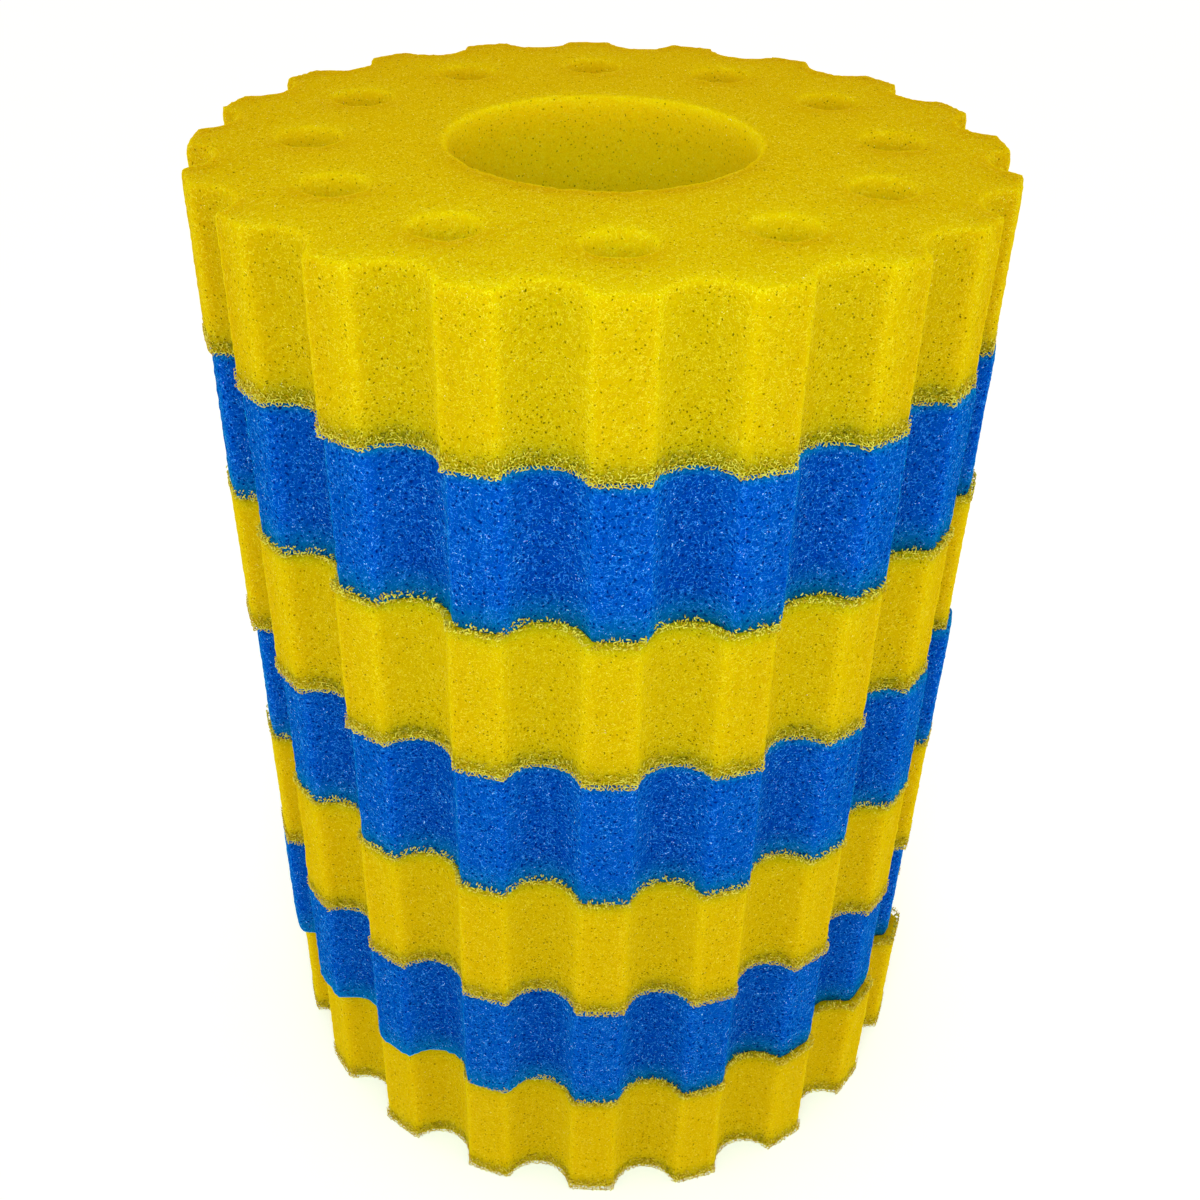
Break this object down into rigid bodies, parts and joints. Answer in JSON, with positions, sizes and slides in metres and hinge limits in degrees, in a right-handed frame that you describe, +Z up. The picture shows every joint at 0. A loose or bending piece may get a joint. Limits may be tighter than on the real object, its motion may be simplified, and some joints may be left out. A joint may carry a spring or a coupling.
{
  "type": "sponge filter",
  "caption": "Round stack of loose open-cell foam discs, yellow and blue in turn, with a fluted edge, a central bore and a ring of small channels.",
  "frame": {"origin": "centre of the bottom face of the stack, on the axis of the bore", "axes": "+Z up along the axis of the bore; +X through the middle of a lobe and of a small channel"},
  "size_m": [0.2, 0.2, 0.28],
  "materials": {
    "yellow_foam": "matt open-cell foam, fine cells, bright yellow",
    "blue_foam": "matt open-cell foam, coarser cells, bright blue"
  },
  "bodies": {
    "bottom_yellow_disc": {"bottom_yellow_disc": "yellow_foam"},
    "lower_blue_disc": {"lower_blue_disc": "blue_foam"},
    "lower_yellow_disc": {"lower_yellow_disc": "yellow_foam"},
    "middle_blue_disc": {"middle_blue_disc": "blue_foam"},
    "upper_yellow_disc": {"upper_yellow_disc": "yellow_foam"},
    "upper_blue_disc": {"upper_blue_disc": "blue_foam"},
    "top_yellow_disc": {"top_yellow_disc": "yellow_foam"}
  },
  "joints": [
    {"name": "lower_blue_lift", "type": "slide", "parent": "bottom_yellow_disc", "child": "lower_blue_disc", "axis": [0, 0, 1], "range_m": [0, 0.06]},
    {"name": "lower_yellow_lift", "type": "slide", "parent": "lower_blue_disc", "child": "lower_yellow_disc", "axis": [0, 0, 1], "range_m": [0, 0.06]},
    {"name": "middle_blue_lift", "type": "slide", "parent": "lower_yellow_disc", "child": "middle_blue_disc", "axis": [0, 0, 1], "range_m": [0, 0.06]},
    {"name": "upper_yellow_lift", "type": "slide", "parent": "middle_blue_disc", "child": "upper_yellow_disc", "axis": [0, 0, 1], "range_m": [0, 0.06]},
    {"name": "upper_blue_lift", "type": "slide", "parent": "upper_yellow_disc", "child": "upper_blue_disc", "axis": [0, 0, 1], "range_m": [0, 0.06]},
    {"name": "top_yellow_lift", "type": "slide", "parent": "upper_blue_disc", "child": "top_yellow_disc", "axis": [0, 0, 1], "range_m": [0, 0.06]}
  ]
}
